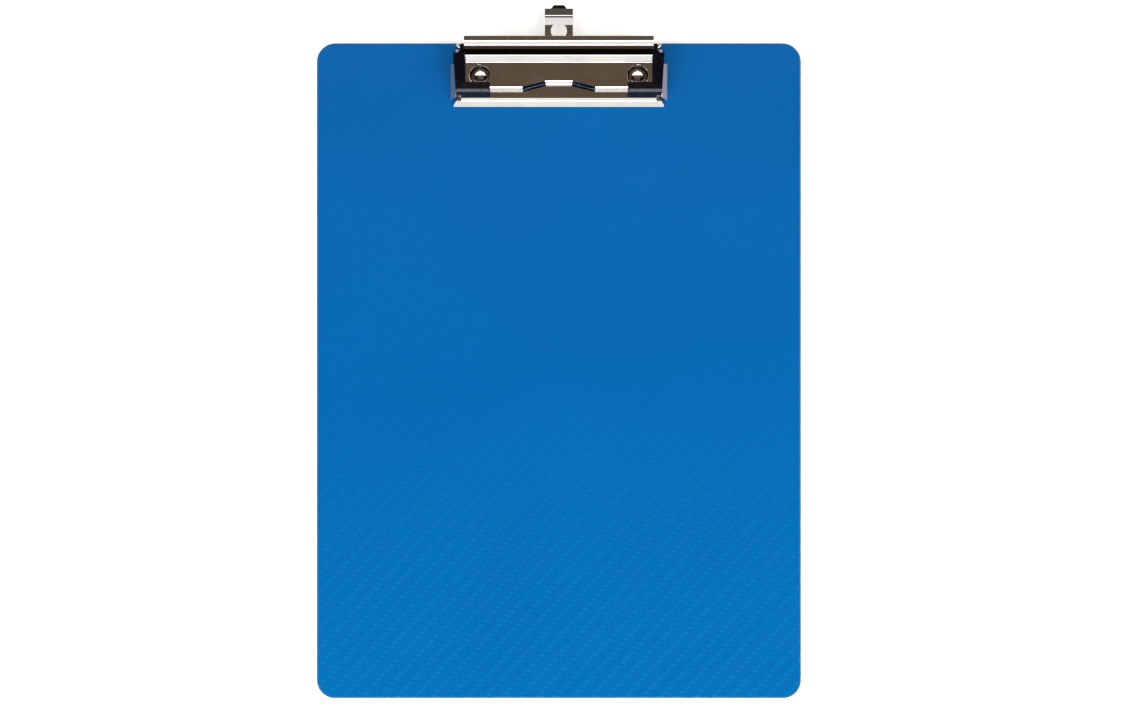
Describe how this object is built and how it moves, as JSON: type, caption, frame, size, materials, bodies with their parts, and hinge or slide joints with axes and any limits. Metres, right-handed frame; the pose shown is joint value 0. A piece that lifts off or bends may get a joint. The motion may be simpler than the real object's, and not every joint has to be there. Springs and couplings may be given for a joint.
{
  "type": "clipboard",
  "caption": "Flat plastic clipboard for A4 sheets with a sprung metal clamp at its top edge, rubber jaw corners and a sliding hanging tab with a round hole.",
  "frame": {"origin": "centre of the board's flat back face", "axes": "+X across the board to the right, +Y up the board to the clamp end, +Z out of the front face"},
  "size_m": [0.235, 0.3364, 0.0159],
  "materials": {
    "board_plastic": "satin blue with an embossed twill grain",
    "plated_steel": "bright nickel plate",
    "steel_rod": "drawn rod",
    "spring_wire": "oiled spring wire",
    "black_rubber": "smooth, faintly blue black",
    "rivet_steel": "plated"
  },
  "bodies": {
    "base": {"board": "board_plastic", "base_plate": "plated_steel", "hinge_pin": "steel_rod", "torsion_spring_left": "spring_wire", "torsion_spring_right": "spring_wire", "rivet_left": "rivet_steel", "rivet_right": "rivet_steel", "rivet_washer_left": "rivet_steel", "rivet_washer_right": "rivet_steel"},
    "lever": {"clamp_lever": "plated_steel", "rubber_corner_left": "black_rubber", "rubber_corner_right": "black_rubber"},
    "tab": {"hanging_tab": "plated_steel"}
  },
  "joints": [
    {"name": "clamp_hinge", "type": "hinge", "parent": "base", "child": "lever", "pos_m": [0, 0.1535, 0.0095], "axis": [-1, 0, 0], "range_deg": [0, 25], "stiffness_Nm_per_rad": 0.2, "springref_deg": -28.65, "deforming": ["torsion_spring_left", "torsion_spring_right"]},
    {"name": "tab_slide", "type": "slide", "parent": "base", "child": "tab", "axis": [0, 1, 0], "range_m": [-0.0085, 0]}
  ]
}
